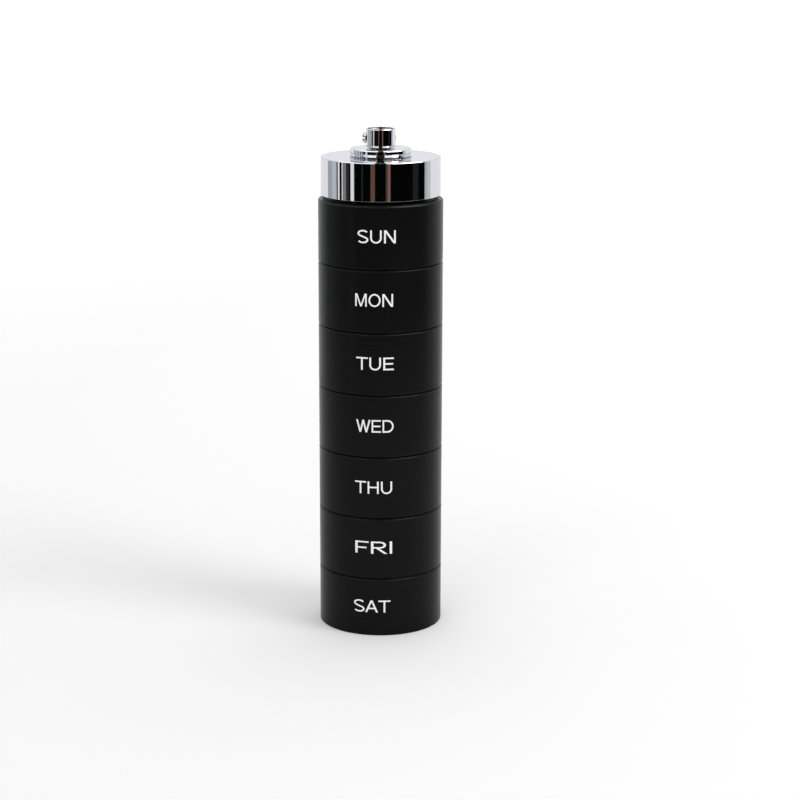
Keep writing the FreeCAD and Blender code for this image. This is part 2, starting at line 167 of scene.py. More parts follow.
class StudSizes(bpy.types.PropertyGroup):
    """Sizes of the swivel stud and of its screw's seat"""
    shank_radius: length("Shank radius", 1.60, "Shank that turns in the bush")
    tail_length: length("Tail length", 0.70, "Shank below the clip's groove")
    groove_width: length("Groove width", 0.44, "Groove that the clip snaps in")
    groove_depth: length("Groove depth", 0.45, "Depth of that groove")
    neck_radius: length("Neck radius", 2.30, "Neck between the disc and the barrel")
    neck_height: length("Neck height", 0.15, "Height of that neck")
    barrel_height: length("Barrel height", 3.80, "Height of the barrel")
    foot_land: length("Foot land", 0.10, "Upright land under the barrel's foot bevel")
    foot_rise: length("Foot rise", 0.33, "Height of the barrel's foot bevel")
    foot_step: length("Foot step", 0.15, "How far that bevel draws in")
    top_chamfer: length("Top chamfer", 0.12, "Upper edge of the barrel")
    dish_radius: length("Dish radius", 2.72, "Shallow dish turned in the barrel's top")
    dish_depth: length("Dish depth", 0.30, "Depth of that dish")
    bore_radius: length("Bore radius", 0.72, "Cross bore that takes the screw")
    seat_radius: length("Seat radius", 1.25, "Flat that is sunk under the screw's head")
    seat_depth: length("Seat depth", 0.35, "Depth of that flat in the barrel's side")
    overrun: length("Overrun", 1.0, "How far the cutter runs past the barrel")


class LabelSizes(bpy.types.PropertyGroup):
    """Sizes of the printed day names"""
    letter_height: length("Letter height", 2.66, "Height of a flat capital")
    label_width: length("Label width", 7.87, "Width that every name is spread to")
    ink_proud: length("Ink proud", 0.012, "How far the ink stands over the cup's side")
    ink_depth: length("Ink depth", 0.030, "Thickness of the ink, most of it in the surface")
    slice_width: length("Slice width", 0.25, "Widest flat step of the ink round the cup")
    weld: length("Weld", 0.004, "Corners of the ink closer than this become one")


class FinishSettings(bpy.types.PropertyGroup):
    """Colours and roughness of every finish"""
    anodised_colour: colour("Anodised", (0.0038, 0.0038, 0.0040), "Black anodised cups")
    # The cups' eased edges are rubbed paler, and painted paler still: a painted highlight along
    # the rims and seams.
    anodised_worn_and_highlight: colour("Worn anodised", (0.038, 0.038, 0.040), "Edges rubbed by hands")
    anodised_roughness: share("Anodised roughness", 0.27, "Satin sheen of the cups")
    anodised_specular: share("Anodised specular", 0.082, "Strength of that sheen")
    ink_colour: colour("Ink", (0.97, 0.97, 0.96), "Printed day names")
    chrome_colour: colour("Chrome", (0.65, 0.66, 0.68), "Cap, disc and stud")
    chrome_edge: colour("Chrome edge", (0.90, 0.91, 0.93), "Chrome seen at a low angle")
    chrome_roughness: share("Chrome roughness", 0.03, "Polish of the chrome")
    # Painted shade: the cap's screw part below its foot, seen in the seam under the cap, is
    # painted near black as that seam's shade.
    seam_shade_colour: colour("Seam shade", (0.012, 0.012, 0.012), "Chrome cap's screw part")
    rubber_colour: colour("Rubber", (0.012, 0.012, 0.012), "Sealing rings")
    steel_colour: colour("Screw steel", (0.56, 0.56, 0.57), "Cross screw")
    aluminium_colour: colour("Aluminium", (0.74, 0.74, 0.75), "Plug under the cap")
    spring_colour: colour("Spring steel", (0.42, 0.42, 0.43), "Washer and clip")


class StageSettings(bpy.types.PropertyGroup):
    """Floor, light and camera"""
    camera_side: length("Camera side", 4.11, "How far the camera stands right of the axis")
    camera_distance: length("Camera distance", 446.6, "Camera to the stack's axis")
    camera_height: length("Camera height", 154.2, "Camera over the floor")
    camera_dip: angle("Camera dip", 13.368, "How far the camera looks down")
    camera_roll: angle("Camera roll", 0.135, "How far the camera leans to its left")
    lens: amount("Lens", 97.5, "Focal length on a 36 mm wide sensor, in millimetres")
    nearest: length("Nearest", 10.0, "The camera sees nothing nearer than this")
    farthest: length("Farthest", 100000.0, "The camera sees nothing farther than this")
    floor_size: length("Floor size", 12000.0, "Side of the square floor")
    floor_colour: colour("Floor", (0.93, 0.93, 0.93), "Pale table top")
    # Painted light: the floor's glow is dimmer at the left front and brighter at the right back,
    # as the room's light falls on the table.
    near_painted_light: amount("Near glow", 0.035, "What the floor adds to the picture at the left front")
    far_painted_light: amount("Far glow", 0.115, "What the floor adds to the picture at the right back")
    painted_light_reach: length("Glow reach", 100.0, "Axis to where each of those levels is reached")
    fade_start: length("Fade start", 30.0, "Axis to where the floor begins to fade to white")
    fade_end: length("Fade end", 1800.0, "Axis to where the floor is as white as the room")
    room_light: amount("Room light", 0.60, "Level of the room's own light")
    screen_distance: length("Screen distance", 300.0, "Axis to the dark screen in front")
    strip_distance: length("Strip distance", 291.0, "Axis to the paler strips before it")
    screen_height: length("Screen height", 310.0, "Height of that screen and its strips")
    ridge_height: length("Ridge height", 390.0, "Height of the dark ridge overhead")
    ridge_width: length("Ridge width", 48.0, "Width of that ridge at its back end")
    ridge_flare: amount("Ridge flare", 4.8, "How many times as wide its front end is")
    ridge_front: length("Ridge front", 340.0, "Axis to the front end of that ridge")
    ridge_back: length("Ridge back", 15.0, "Axis to the back end of that ridge, in front too")


# ------------------------------------------------------------------ turned shapes

SEGMENTS = 192              # steps round a turned piece
ARC_STEPS = 4               # steps along an eased edge
WELD = 1e-8                 # metres within which two points are one
STRAIGHT = 1e-12            # radians below which two edges lie in one line

AROUND = np.linspace(0, FULL_TURN, SEGMENTS + 1)
COS, SIN = np.cos(AROUND), np.sin(AROUND)


def directions(angles):
    """Unit vectors (cos a, sin a)."""
    return np.stack([np.cos(angles), np.sin(angles)], axis=-1)


def rounded(corners, closed=False):
    """A profile with every corner eased, as points, normals and an edge mask.

    A corner is (radius, height), eased by the usual round, or (radius, height, round). Its arc
    has its centre on the sum of the two edges' normals, round / (1 + their cosine) times that
    sum away from the corner, and its points lie one round from that centre, along a normal
    that turns evenly from the first edge's to the second's. Outside corners add that normal,
    and inside corners take it away. The edge mask is a half sine along an outside arc: it marks
    rubbed edges, and on the black cups also a painted highlight. An open profile
    starts and ends on the axis.
    """
    ease = bpy.context.scene.pill_cups.edge_round
    table = np.array([(*corner, ease)[:3] for corner in corners])
    spot, size = table[:, :2], table[:, 2]
    edge = np.roll(spot, -1, axis=0) - spot
    before = np.roll(edge, 1, axis=0)
    if not closed:
        edge[-1], before[0] = edge[-2], edge[0]
    start = np.arctan2(-before[:, 0], before[:, 1])
    turn = np.arctan2(-edge[:, 0], edge[:, 1]) - start
    turn = (turn + math.pi) % FULL_TURN - math.pi
    side = np.where(turn > -STRAIGHT, 1.0, -1.0)
    reach = side * size / (1 + np.cos(turn))
    centre = spot - reach[:, None] * (directions(start) + directions(start + turn))
    step = np.linspace(0, 1, ARC_STEPS + 1)
    normals = directions(start[:, None] + turn[:, None] * step)
    points = centre[:, None] + (side * size)[:, None, None] * normals
    wear_and_highlight = np.sin(math.pi * step) * (turn > STRAIGHT)[:, None]
    return points, normals, wear_and_highlight


def stretch_of(profile, first, end):
    """The points, normals and edge mask of a profile's corners from first up to end, in one row.
    """
    return [part[first:end].reshape(-1, *part.shape[2:]) for part in profile]


def swept(points, normals, wear_and_highlight):
    """A profile carried round the axis: (r cos a, r sin a, z) for a from 0 to a full turn."""
    def carried(pair):
        """Rows of (radial, upright) pairs, carried round."""
        radial, upright = pair[:, :1], pair[:, 1:]
        return np.stack([radial * COS, radial * SIN, upright + 0 * COS], axis=-1)

    return carried(points), carried(normals), wear_and_highlight[:, None] + 0 * COS


def eased(level):
    """Smooth step from 0 to 1: 3 t^2 - 2 t^3, and its slope 6 t - 6 t^2."""
    t = np.clip(level, 0, 1)
    return t * t * (3 - 2 * t), 6 * t * (1 - t)


def faded(z, low, high, run_out):
    """1 inside a stretch and 0 past its ends, by a smooth step at each end, and its slope."""
    rise, rise_slope = eased((z - low) / run_out)
    fall, fall_slope = eased((high - z) / run_out)
    return rise * fall, (rise_slope * fall - rise * fall_slope) / run_out


def ridge_section(thread):
    """A trapezoid ridge cut along the axis: offset, height and slope at its eight corners.

    Each of the four sharp corners is split in two, one ease before it and one after.
    """
    ease, top = thread.corner_round, thread.ridge_height
    half_root, half_crest = thread.root_width / 2, thread.crest_width / 2
    steep = top / (half_root - half_crest)
    offset = np.array([half_root + ease, half_root - ease, half_crest + ease, half_crest - ease])
    height = np.array([0, steep * ease, top - steep * ease, top])
    slope = np.array([0, steep, steep, 0])
    return (np.concatenate([-offset, offset[::-1]]),
            np.concatenate([height, height[::-1]]),
            np.concatenate([slope, -slope[::-1]]))


def threaded(start, end, rim, thread):
    """A threaded stretch of a turned wall, between two points of its profile.

    Rows follow the helix z = rim + lead * (turn + angle / full turn) + offset, for the eight
    corners of a ridge, and are held between the two ends. The radius is the wall's plus
    (outside) or minus (inside) fade * ridge. Normals come from the radius's two slopes. A wall
    whose profile runs down is an inside one, and its ridges stand half a lead higher.
    """
    outside = 1.0 if end[1] > start[1] else -1.0
    low, high = sorted((start[1], end[1]))
    lead = thread.lead
    offset, height, slope = ridge_section(thread)
    middle = rim if outside > 0 else rim + lead / 2
    turns = np.arange(
        math.floor((low - middle - offset[-1]) / lead) - 1,
        math.ceil((high - middle + offset[-1]) / lead) + 1)
    rest = (middle + lead * turns[:, None] + offset).reshape(-1, 1)
    z = np.clip(rest + lead * AROUND / FULL_TURN, low, high)
    fade, fade_slope = faded(z, low, high, thread.run_out)
    ridge = np.tile(height, len(turns))[:, None]
    ridge_slope = np.tile(slope, len(turns))[:, None]
    radius = start[0] + outside * fade * ridge
    radius_up = outside * (fade_slope * ridge + fade * ridge_slope)
    radius_round = -outside * fade * ridge_slope * lead / FULL_TURN
    points = np.stack([radius * COS, radius * SIN, z], axis=-1)
    normals = outside * np.stack([
        radius * COS + radius_round * SIN,
        radius * SIN - radius_round * COS,
        -radius * radius_up], axis=-1)
    normals /= np.linalg.norm(normals, axis=-1, keepdims=True)
    wear_and_highlight = fade * (ridge_slope != 0) * (ridge > thread.ridge_height / 2)
    order = slice(None, None, int(outside))
    return points[order], normals[order], wear_and_highlight[order]


def grid_cells(patches):
    """The four corners of every cell of every patch, counted through all the patches."""
    cells, count = [], 0
    for points, _, _ in patches:
        rows, columns = points.shape[:2]
        index = count + np.arange(rows * columns).reshape(rows, columns)
        corners = index[:-1, :-1], index[:-1, 1:], index[1:, 1:], index[1:, :-1]
        cells.append(np.stack(corners, axis=-1).reshape(-1, 4))
        count += rows * columns
    return np.concatenate(cells)


def welded(points, cells):
    """The points that stay where others round to the same place, and the faces between them.

    A cell is a face of four corners, or of three where two neighbours fell together at a pole
    or a thread's end, and a cell with fewer is left out.
    """
    keys = np.round(points / WELD).astype(np.int64)
    stay, place = np.unique(keys, axis=0, return_index=True, return_inverse=True)[1:]
    cells = place.reshape(-1)[cells]
    repeated = cells == np.roll(cells, -1, axis=1)
    fallen = repeated.sum(axis=1)
    triangles = cells[fallen == 1][~repeated[fallen == 1]].reshape(-1, 3)
    apart = (triangles != np.roll(triangles, -1, axis=1)).all(axis=1)
    return stay, cells[fallen == 0].tolist() + triangles[apart].tolist()


def mesh_of(name, patches):
    """One mesh from patches, grids of points, normals and edge mask that meet where they agree."""
    points, normals = (
        np.concatenate([patch[part].reshape(-1, 3) for patch in patches]) for part in (0, 1))
    wear_and_highlight = np.concatenate([patch[2].reshape(-1) for patch in patches])
    stay, faces = welded(points, grid_cells(patches))
    mesh = bpy.data.meshes.new(name)
    mesh.from_pydata(points[stay].tolist(), [], faces)
    worn = mesh.attributes.new("wear_and_highlight", "FLOAT", "POINT")
    worn.data.foreach_set("value", wear_and_highlight[stay].astype(np.float32))
    mesh.shade_smooth()
    mesh.normals_split_custom_set_from_vertices(normals[stay].tolist())
    return mesh


def turned(name, corners, rims=None, closed=False):
    """A turned solid. rims maps the corner before a threaded stretch to its joint's rim."""
    rims, thread = rims or {}, bpy.context.scene.pill_thread
    profile = rounded(corners, closed)
    points = profile[0]
    patches, first = [], 0
    for corner in sorted(rims):
        patches.append(swept(*stretch_of(profile, first, corner + 1)))
        patches.append(threaded(
            points[corner, -1], points[corner + 1, 0], rims[corner], thread))
        first = corner + 1
    last = stretch_of(profile, first, len(corners))
    if closed:
        last = [np.concatenate([part, whole[0, :1]]) for part, whole in zip(last, profile)]
    return mesh_of(name, patches + [swept(*last)])


# ------------------------------------------------------------------ objects

def shown(name, data):
    """A new object of the scene that holds the data."""
    made = bpy.data.objects.new(name, data)
    bpy.context.scene.collection.objects.link(made)
    return made


def keep_lean(mesh, side):
    """Stores each corner's normal as an attribute, turned over where side is -1."""
    normals = np.empty(len(mesh.loops) * 3, np.float32)
    mesh.corner_normals.foreach_get("vector", normals)
    lean = mesh.attributes.new("lean", "FLOAT_VECTOR", "CORNER")
    lean.data.foreach_set("vector", side * normals)


def cut_away(mesh, cutter):
    """The solid less the cutter. Normals are carried over, as the cutter's turned over."""
    keep_lean(mesh, 1)
    keep_lean(cutter, -1)
    solid, tool = shown(mesh.name, mesh), shown(cutter.name, cutter)
    cut = solid.modifiers.new("cut", "BOOLEAN")
    cut.operation, cut.solver, cut.object = "DIFFERENCE", "EXACT", tool
    graph = bpy.context.evaluated_depsgraph_get()
    left = bpy.data.meshes.new_from_object(solid.evaluated_get(graph))
    left.name = mesh.name
    for part in (solid, tool):
        bpy.data.objects.remove(part)
    normals = np.empty(len(left.loops) * 3, np.float32)
    left.attributes["lean"].data.foreach_get("vector", normals)
    left.attributes.remove(left.attributes["lean"])
    left.normals_split_custom_set(normals.reshape(-1, 3).tolist())
    return left


def stand_in(name, mesh, node, body, finish_name):
    """Puts a new piece in a packed node's place."""
    piece = shown(name, mesh)
    mesh.materials.append(finish(finish_name))
    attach(piece, body)
    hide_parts(node)


# ------------------------------------------------------------------ profiles

BOSS_THREAD = 1             # corner of boss() where its thread starts
MOUTH_THREAD = 5            # corner of mouth() where its thread starts


def cup_radius():
    """Outer radius of the cups."""
    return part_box("saturday_cup")[1].x


def seal_radius(s):
    """Radius of the sealing bore in a cup's mouth."""
    return cup_radius() - s.seal_wall


def mouth_root(s):
    """Radius of a mouth's thread at its root."""
    return seal_radius(s) - s.seal_ledge


def boss_root(s, thread):
    """Radius of a boss's thread at its root."""
    return mouth_root(s) - thread.ridge_height - thread.clearance


def boss_length(s):
    """Tip of a boss to the shoulder over its ring."""
    return s.thread_length + s.pilot_width + s.gland_width


def ring_radius(name):
    """Inner radius of a packed rubber ring: its outer radius less its thickness."""
    low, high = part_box(name)
    return high.x - (high.z - low.z)


def rim_of(day):
    """Height of a cup's rim."""
    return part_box(f"{day}_cup")[1].z


def tip_of(day):
    """Height of a cup's lowest end."""
    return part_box(f"{day}_cup")[0].z


def seam_gap(s):
    """Open seam between two cups: shoulder of the second cup less the rim of the first."""
    return tip_of(DAYS[1]) + boss_length(s) - rim_of(DAYS[0])


def mouth(rim, s):
    """Down the inside of a mouth: rim, lead-in, sealing bore, thread's root, compartment."""
    outside, seal, root = cup_radius(), seal_radius(s), mouth_root(s)
    cavity = outside - s.cavity_wall
    return [
        (outside, rim - s.rim_chamfer, s.outer_round),
        (outside - s.rim_chamfer, rim, s.outer_round),
        (seal + s.mouth_chamfer, rim),
        (seal, rim - s.mouth_chamfer),
        (seal, rim - s.seal_depth),
        (root, rim - s.seal_depth),
        (root, rim - s.mouth_depth),
        (cavity, rim - s.mouth_depth - (root - cavity)),
    ]


def boss(tip, ring, s, thread):
    """Up the outside of a boss: edge of its tip, thread's root, pilot land, ring's groove."""
    root, pilot = boss_root(s, thread), seal_radius(s) - s.pilot_clearance
    gland = ring_radius(ring) - s.ring_clearance
    thread_top = tip + s.thread_length
    gland_foot = thread_top + s.pilot_width
    return [
        (root - s.tip_chamfer, tip),
        (root, tip + s.tip_chamfer),
        (root, thread_top),
        (pilot, thread_top),
        (pilot, gland_foot),
        (gland, gland_foot),
        (gland, gland_foot + s.gland_width),
    ]


def base_cup(rim, s):
    """The lowest cup, from the middle of its foot to that of its floor, and its thread."""
    outside = cup_radius()
    foot = [
        (0, 0, 0),
        (outside - s.foot_chamfer, 0, s.outer_round),
        (outside, s.foot_chamfer, s.outer_round),
    ]
    floor = [(outside - s.cavity_wall, s.base_floor, s.floor_round), (0, s.base_floor, 0)]
    return foot + mouth(rim, s) + floor, {len(foot) + MOUTH_THREAD: rim}


def day_cup(tip, rim, rim_below, ring, s, thread):
    """A cup with a boss, from the middle of its tip to that of its floor, and its threads."""
    outside, bore = cup_radius(), boss_root(s, thread) - s.boss_wall
    shoulder = tip + boss_length(s)
    outer = [(0, tip, 0)] + boss(tip, ring, s, thread) + [
        (outside - s.foot_chamfer, shoulder, s.outer_round),
        (outside, shoulder + s.foot_chamfer, s.outer_round),
    ]
    floor = [
        (outside - s.cavity_wall, shoulder + s.step_height),
        (bore, shoulder + s.step_height),
        (bore, tip + s.boss_floor, s.floor_round),
        (0, tip + s.boss_floor, 0),
    ]
    rims = {1 + BOSS_THREAD: rim_below, len(outer) + MOUTH_THREAD: rim}
    return outer + mouth(rim, s) + floor, rims


def screw_cap(s, thread, cap):
    """The cap, closed: boss, bright side, and the hollow under the swivel's bore."""
    low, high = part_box("chrome_cap")
    plug_low, plug_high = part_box("cap_plug")
    side, shoulder, top = high.x, low.z + boss_length(s), high.z
    foot = shoulder + cap.cap_gap - seam_gap(s)
    pilot = seal_radius(s) - s.pilot_clearance
    bore, roof = cap.spigot_radius + cap.fit_clearance, top - cap.roof_thickness
    plug_bore = plug_high.x + cap.fit_clearance
    shell = [
        (pilot, shoulder),
        (pilot, foot),
        (side - cap.foot_chamfer, foot),
        (side, foot + cap.foot_chamfer),
        (side, top - cap.top_chamfer),
        (side - cap.top_chamfer, top),
    ]
    hollow = [
        (bore, top),
        (bore, roof),
        (cap.recess_radius, roof),
        (cap.recess_radius, plug_high.z),
        (plug_bore, plug_high.z),
        (plug_bore, plug_low.z),
    ]
    return boss(low.z, "cap_seal_ring", s, thread) + shell + hollow


def swivel_disc(cap):
    """The swivel disc and the bush below it, closed round the shank's bore."""
    low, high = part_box("swivel_flange")
    edge, seat = high.x, low.z + cap.roof_thickness
    vee = seat + cap.vee_height
    return [
        (cap.shank_bore, low.z),
        (cap.spigot_radius, low.z),
        (cap.spigot_radius, seat),
        (edge - cap.disc_foot_chamfer, seat),
        (edge, seat + cap.disc_foot_chamfer),
        (edge, vee - cap.vee_half),
        (edge - cap.vee_depth, vee),
        (edge, vee + cap.vee_half),
        (edge, high.z - cap.disc_top_chamfer),
        (edge - cap.disc_top_chamfer, high.z),
        (cap.shank_bore, high.z),
    ]


def swivel_stud(stud):
    """The stud, from the middle of its shank's foot to the middle of the barrel's top."""
    low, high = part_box("swivel_stud")
    edge, groove = high.x, low.z + stud.tail_length
    groove_top = groove + stud.groove_width
    groove_radius = stud.shank_radius - stud.groove_depth
    foot = high.z - stud.barrel_height
    neck_foot, bevel = foot - stud.neck_height, foot + stud.foot_land
    shank = [
        (0, low.z, 0),
        (stud.shank_radius, low.z),
        (stud.shank_radius, groove),
        (groove_radius, groove),
        (groove_radius, groove_top),
        (stud.shank_radius, groove_top),
        (stud.shank_radius, neck_foot),
    ]
    barrel = [
        (stud.neck_radius, neck_foot),
        (stud.neck_radius, foot),
        (edge - stud.foot_step, foot),
        (edge - stud.foot_step, bevel),
        (edge, bevel + stud.foot_rise),
        (edge, high.z - stud.top_chamfer),
        (edge - stud.top_chamfer, high.z),
        (stud.dish_radius, high.z),
        (stud.dish_radius, high.z - stud.dish_depth),
        (0, high.z - stud.dish_depth, 0),
    ]
    return shank + barrel


def cross_cutter(stud):
    """What the cross bore and the screw's seat take away: a stepped rod, turned, then laid.

    Its axis, upright when turned, points to the screw's head: (x, y, z) goes to (-z, y, x)
    and up to the barrel's middle.
    """
    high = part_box("swivel_stud")[1]
    seat, end = high.x - stud.seat_depth, high.x + stud.overrun
    rod = turned("cross_cutter", [
        (0, -end, 0),
        (stud.bore_radius, -end, 0),
        (stud.bore_radius, seat, 0),
        (stud.seat_radius, seat, 0),
        (stud.seat_radius, end, 0),
        (0, end, 0),
    ])
    rod.transform(Matrix.Translation((0, 0, high.z - stud.barrel_height / 2))
                  @ Matrix.Rotation(-math.pi / 2, 4, "Y"))
    return rod


# ------------------------------------------------------------------ lettering

STEM = 0.134        # width of an upright stroke, in letter heights
BAR = 0.120         # height of a level stroke
OVERSHOOT = 0.012   # how far a round letter passes the lines
CURVE_STEPS = 20    # steps along a curve of a letter

# Room at the left and right of each letter, in letter heights.
BEARINGS = {
    "S": (0.05, 0.05), "U": (0.09, 0.09), "N": (0.09, 0.09), "M": (0.09, 0.09),
    "O": (0.06, 0.06), "T": (0.03, 0.03), "E": (0.09, 0.05), "W": (0.01, 0.01),
    "D": (0.09, 0.06), "H": (0.09, 0.09), "F": (0.09, 0.04), "R": (0.09, 0.02),
    "I": (0.10, 0.10), "A": (-0.01, -0.01),
}


def curve(centre, across, up, start, end):
    """Points on an ellipse: centre + (across cos a, up sin a), a in degrees, evenly spaced."""
    return centre + directions(np.radians(np.linspace(start, end, CURVE_STEPS + 1))) * (across, up)


def outline(*parts):
    """A closed outline from single corners and stretches of curve."""
    return np.concatenate([np.atleast_2d(np.array(part, float)) for part in parts])


def letter_i():
    """One stem."""
    return STEM, [outline((0, 0), (0, 1), (STEM, 1), (STEM, 0))]


def letter_t(width=0.92):
    """A bar on the middle of a stem."""
    left, right = (width - STEM) / 2, (width + STEM) / 2
    return width, [outline(
        (left, 0), (left, 1 - BAR), (0, 1 - BAR), (0, 1),
        (width, 1), (width, 1 - BAR), (right, 1 - BAR), (right, 0))]


def letter_e(width=0.80, short=0.05):
    """A stem and three bars, the middle one shorter."""
    low, high = (1 - BAR) / 2, (1 + BAR) / 2
    arm = width - short
    return width, [outline(
        (0, 0), (0, 1), (width, 1), (width, 1 - BAR), (STEM, 1 - BAR), (STEM, high),
        (arm, high), (arm, low), (STEM, low), (STEM, BAR), (width, BAR), (width, 0))]


def letter_f(width=0.76, short=0.12, arm_foot=0.42):
    """A stem and two bars, the lower one shorter."""
    arm, arm_top = width - short, arm_foot + BAR
    return width, [outline(
        (0, 0), (0, 1), (width, 1), (width, 1 - BAR), (STEM, 1 - BAR),
        (STEM, arm_top), (arm, arm_top), (arm, arm_foot), (STEM, arm_foot), (STEM, 0))]


def letter_h(width=0.88, bar_foot=0.46):
    """Two stems and a bar between them."""
    inner, bar_top = width - STEM, bar_foot + BAR
    return width, [outline(
        (0, 0), (0, 1), (STEM, 1), (STEM, bar_top), (inner, bar_top), (inner, 1),
        (width, 1), (width, 0), (inner, 0), (inner, bar_foot), (STEM, bar_foot), (STEM, 0))]


def letter_n(width=0.90, diagonal=0.178):
    """The diagonal runs from the top left to the bottom right, between two parallel lines."""
    run = width - diagonal
    inner = width - STEM
    return width, [outline(
        (0, 0), (0, 1), (diagonal, 1), (inner, STEM / run), (inner, 1), (width, 1),
        (width, 0), (run, 0), (STEM, 1 - STEM / run), (STEM, 0))]


def letter_m(width=1.02, diagonal=0.186, foot=0.065):
    """Two diagonals meet at a flat foot; their sides are parallel lines."""
    middle = width / 2
    run = middle + foot - diagonal
    fork = foot / run
    crotch = (middle - foot - STEM) / run
    return width, [outline(
        (0, 0), (0, 1), (diagonal, 1), (middle, fork), (width - diagonal, 1), (width, 1),
        (width, 0), (width - STEM, 0), (width - STEM, crotch), (middle + foot, 0),
        (middle - foot, 0), (STEM, crotch), (STEM, 0))]


def letter_w(width=1.28, top=0.149, foot=0.070, pitch=0.29):
    """Four diagonals with flat feet and a flat middle top."""
    low, middle = pitch * width, width / 2
    head = (middle - low - foot) / (middle - low)
    fork = 2 * foot / (middle - top + foot)
    inner = low - foot + (middle - low) * fork
    return width, [outline(
        (0, 1), (low - foot, 0), (low + foot, 0), (middle, head), (width - low - foot, 0),
        (width - low + foot, 0), (width, 1), (width - top, 1), (width - inner, fork),
        (middle + foot, 1), (middle - foot, 1), (inner, fork), (top, 1))]


def letter_a(width=1.00, apex=0.158, foot=0.154, bar_foot=0.27):
    """Two leaning strokes with parallel sides, and a bar between them."""
    lean = (width - apex) / 2

    def inside(height):
        """Inner side of the left stroke at that height."""
        return foot + lean * height

    bar_top = bar_foot + BAR
    peak = (width / 2 - foot) / lean
    return width, [
        outline(
            (0, 0), (lean, 1), (lean + apex, 1), (width, 0), (width - foot, 0),
            (width - inside(bar_foot), bar_foot), (inside(bar_foot), bar_foot), (foot, 0)),
        outline(
            (inside(bar_top), bar_top), (width / 2, peak), (width - inside(bar_top), bar_top)),
    ]


def letter_u(width=0.88, bowl=0.40):
    """Two stems joined by half an ellipse."""
    middle, inner, up = (width / 2, bowl), width / 2 - STEM, bowl + OVERSHOOT
    return width, [outline(
        (0, 1), curve(middle, width / 2, up, 180, 360),
        (width, 1), (width - STEM, 1), curve(middle, inner, up - BAR, 360, 180), (STEM, 1))]


def letter_o(width=1.02):
    """Two ellipses round one middle."""
    middle, up = (width / 2, 0.5), 0.5 + OVERSHOOT
    full = 360 * (1 - 1 / (2 * CURVE_STEPS))
    return width, [
        curve(middle, width / 2, up, 0, full),
        curve(middle, width / 2 - STEM, up - BAR, 0, full),
    ]


def letter_d(width=0.96, straight=0.42):
    """A stem and half an ellipse."""
    middle, across = (straight, 0.5), width - straight
    return width, [
        outline((0, 0), (0, 1), curve(middle, across, 0.5, 90, -90)),
        outline((STEM, BAR), (STEM, 1 - BAR), curve(middle, across - STEM, 0.5 - BAR, 90, -90)),
    ]


def letter_r(width=0.90, bowl=0.82, straight=0.46, waist=0.43, leg=0.177):
    """A stem, half an ellipse over the waist, and a leg that leans out to the foot."""
    middle, across, up = (straight, (1 + waist) / 2), bowl - straight, (1 - waist) / 2
    return width, [
        outline(
            (0, 0), (0, 1), curve(middle, across, up, 90, -90),
            (width, 0), (width - leg, 0), (straight - leg, waist), (STEM, waist), (STEM, 0)),
        outline(
            (STEM, waist + BAR), (STEM, 1 - BAR),
            curve(middle, across - STEM, up - BAR, 90, -90)),
    ]


def letter_s(width=0.86, flat=0.205, ends=(28, 205)):
    """A ribbon along two ellipses and the line that touches both.

    The upper ellipse stands h over the letter's middle. A line through that middle touches it
    where sin b = -flat / h. The lower half is the upper one turned by half a turn. The
    ribbon's half width is half a stem sideways and half a bar upwards, mixed by its normal.
    """
    across = (width - STEM) / 2
    over = 0.5 + OVERSHOOT - BAR / 2 - flat
    touch = 180 + math.degrees(math.asin(flat / over))
    middle = np.array([width / 2, 0.5])
    upper = curve(middle + (0, over), across, flat, ends[0], touch)
    lower = curve(middle + (0, over), across, flat, touch, ends[1] - 180)
    spine = np.concatenate([upper, 2 * middle - lower])
    along = np.gradient(spine, axis=0)
    along /= np.linalg.norm(along, axis=1, keepdims=True)
    normal = np.stack([-along[:, 1], along[:, 0]], axis=-1)
    half = np.hypot(normal[:, 0] * STEM / 2, normal[:, 1] * BAR / 2)[:, None]
    return width, [np.concatenate([spine + normal * half, (spine - normal * half)[::-1]])]


LETTERS = {
    "S": letter_s, "U": letter_u, "N": letter_n, "M": letter_m, "O": letter_o,
    "T": letter_t, "E": letter_e, "W": letter_w, "D": letter_d, "H": letter_h,
    "F": letter_f, "R": letter_r, "I": letter_i, "A": letter_a,
}


def word_outlines(word):
    """Each letter's outlines, set side by side, and the width of the ink from 0."""
    place, letters = -BEARINGS[word[0]][0], []
    for sign in word:
        left, right = BEARINGS[sign]
        width, loops = LETTERS[sign]()
        place += left
        letters.append([loop + (place, 0) for loop in loops])
        ink_end = place + width
        place = ink_end + right
    return letters, ink_end


def flat_ink(mesh, word, sizes):
    """The word as flat plates, each filled between a letter's outlines.

    x runs along the word from its middle, y into the cup, and z up from the letters' middle.
    The mesh takes the corners, and the faces are added to them letter by letter.
    """
    letters, ink_width = word_outlines(word)
    x, z = np.concatenate([loop for loops in letters for loop in loops]).T
    spots = np.stack([
        (x - ink_width / 2) * (sizes.label_width / ink_width),
        0 * x,
        (z - 0.5) * sizes.letter_height], axis=-1)
    mesh.from_pydata(spots.tolist(), [], [])
    ink = bmesh.new()
    ink.from_mesh(mesh)
    corners, first = ink.verts[:], 0
    for loops in letters:
        for triangle in tessellate_polygon(
                [np.insert(loop, 2, 0, axis=1).tolist() for loop in loops]):
            ink.faces.new([corners[first + corner] for corner in triangle])
        first += sum(len(loop) for loop in loops)
    return ink


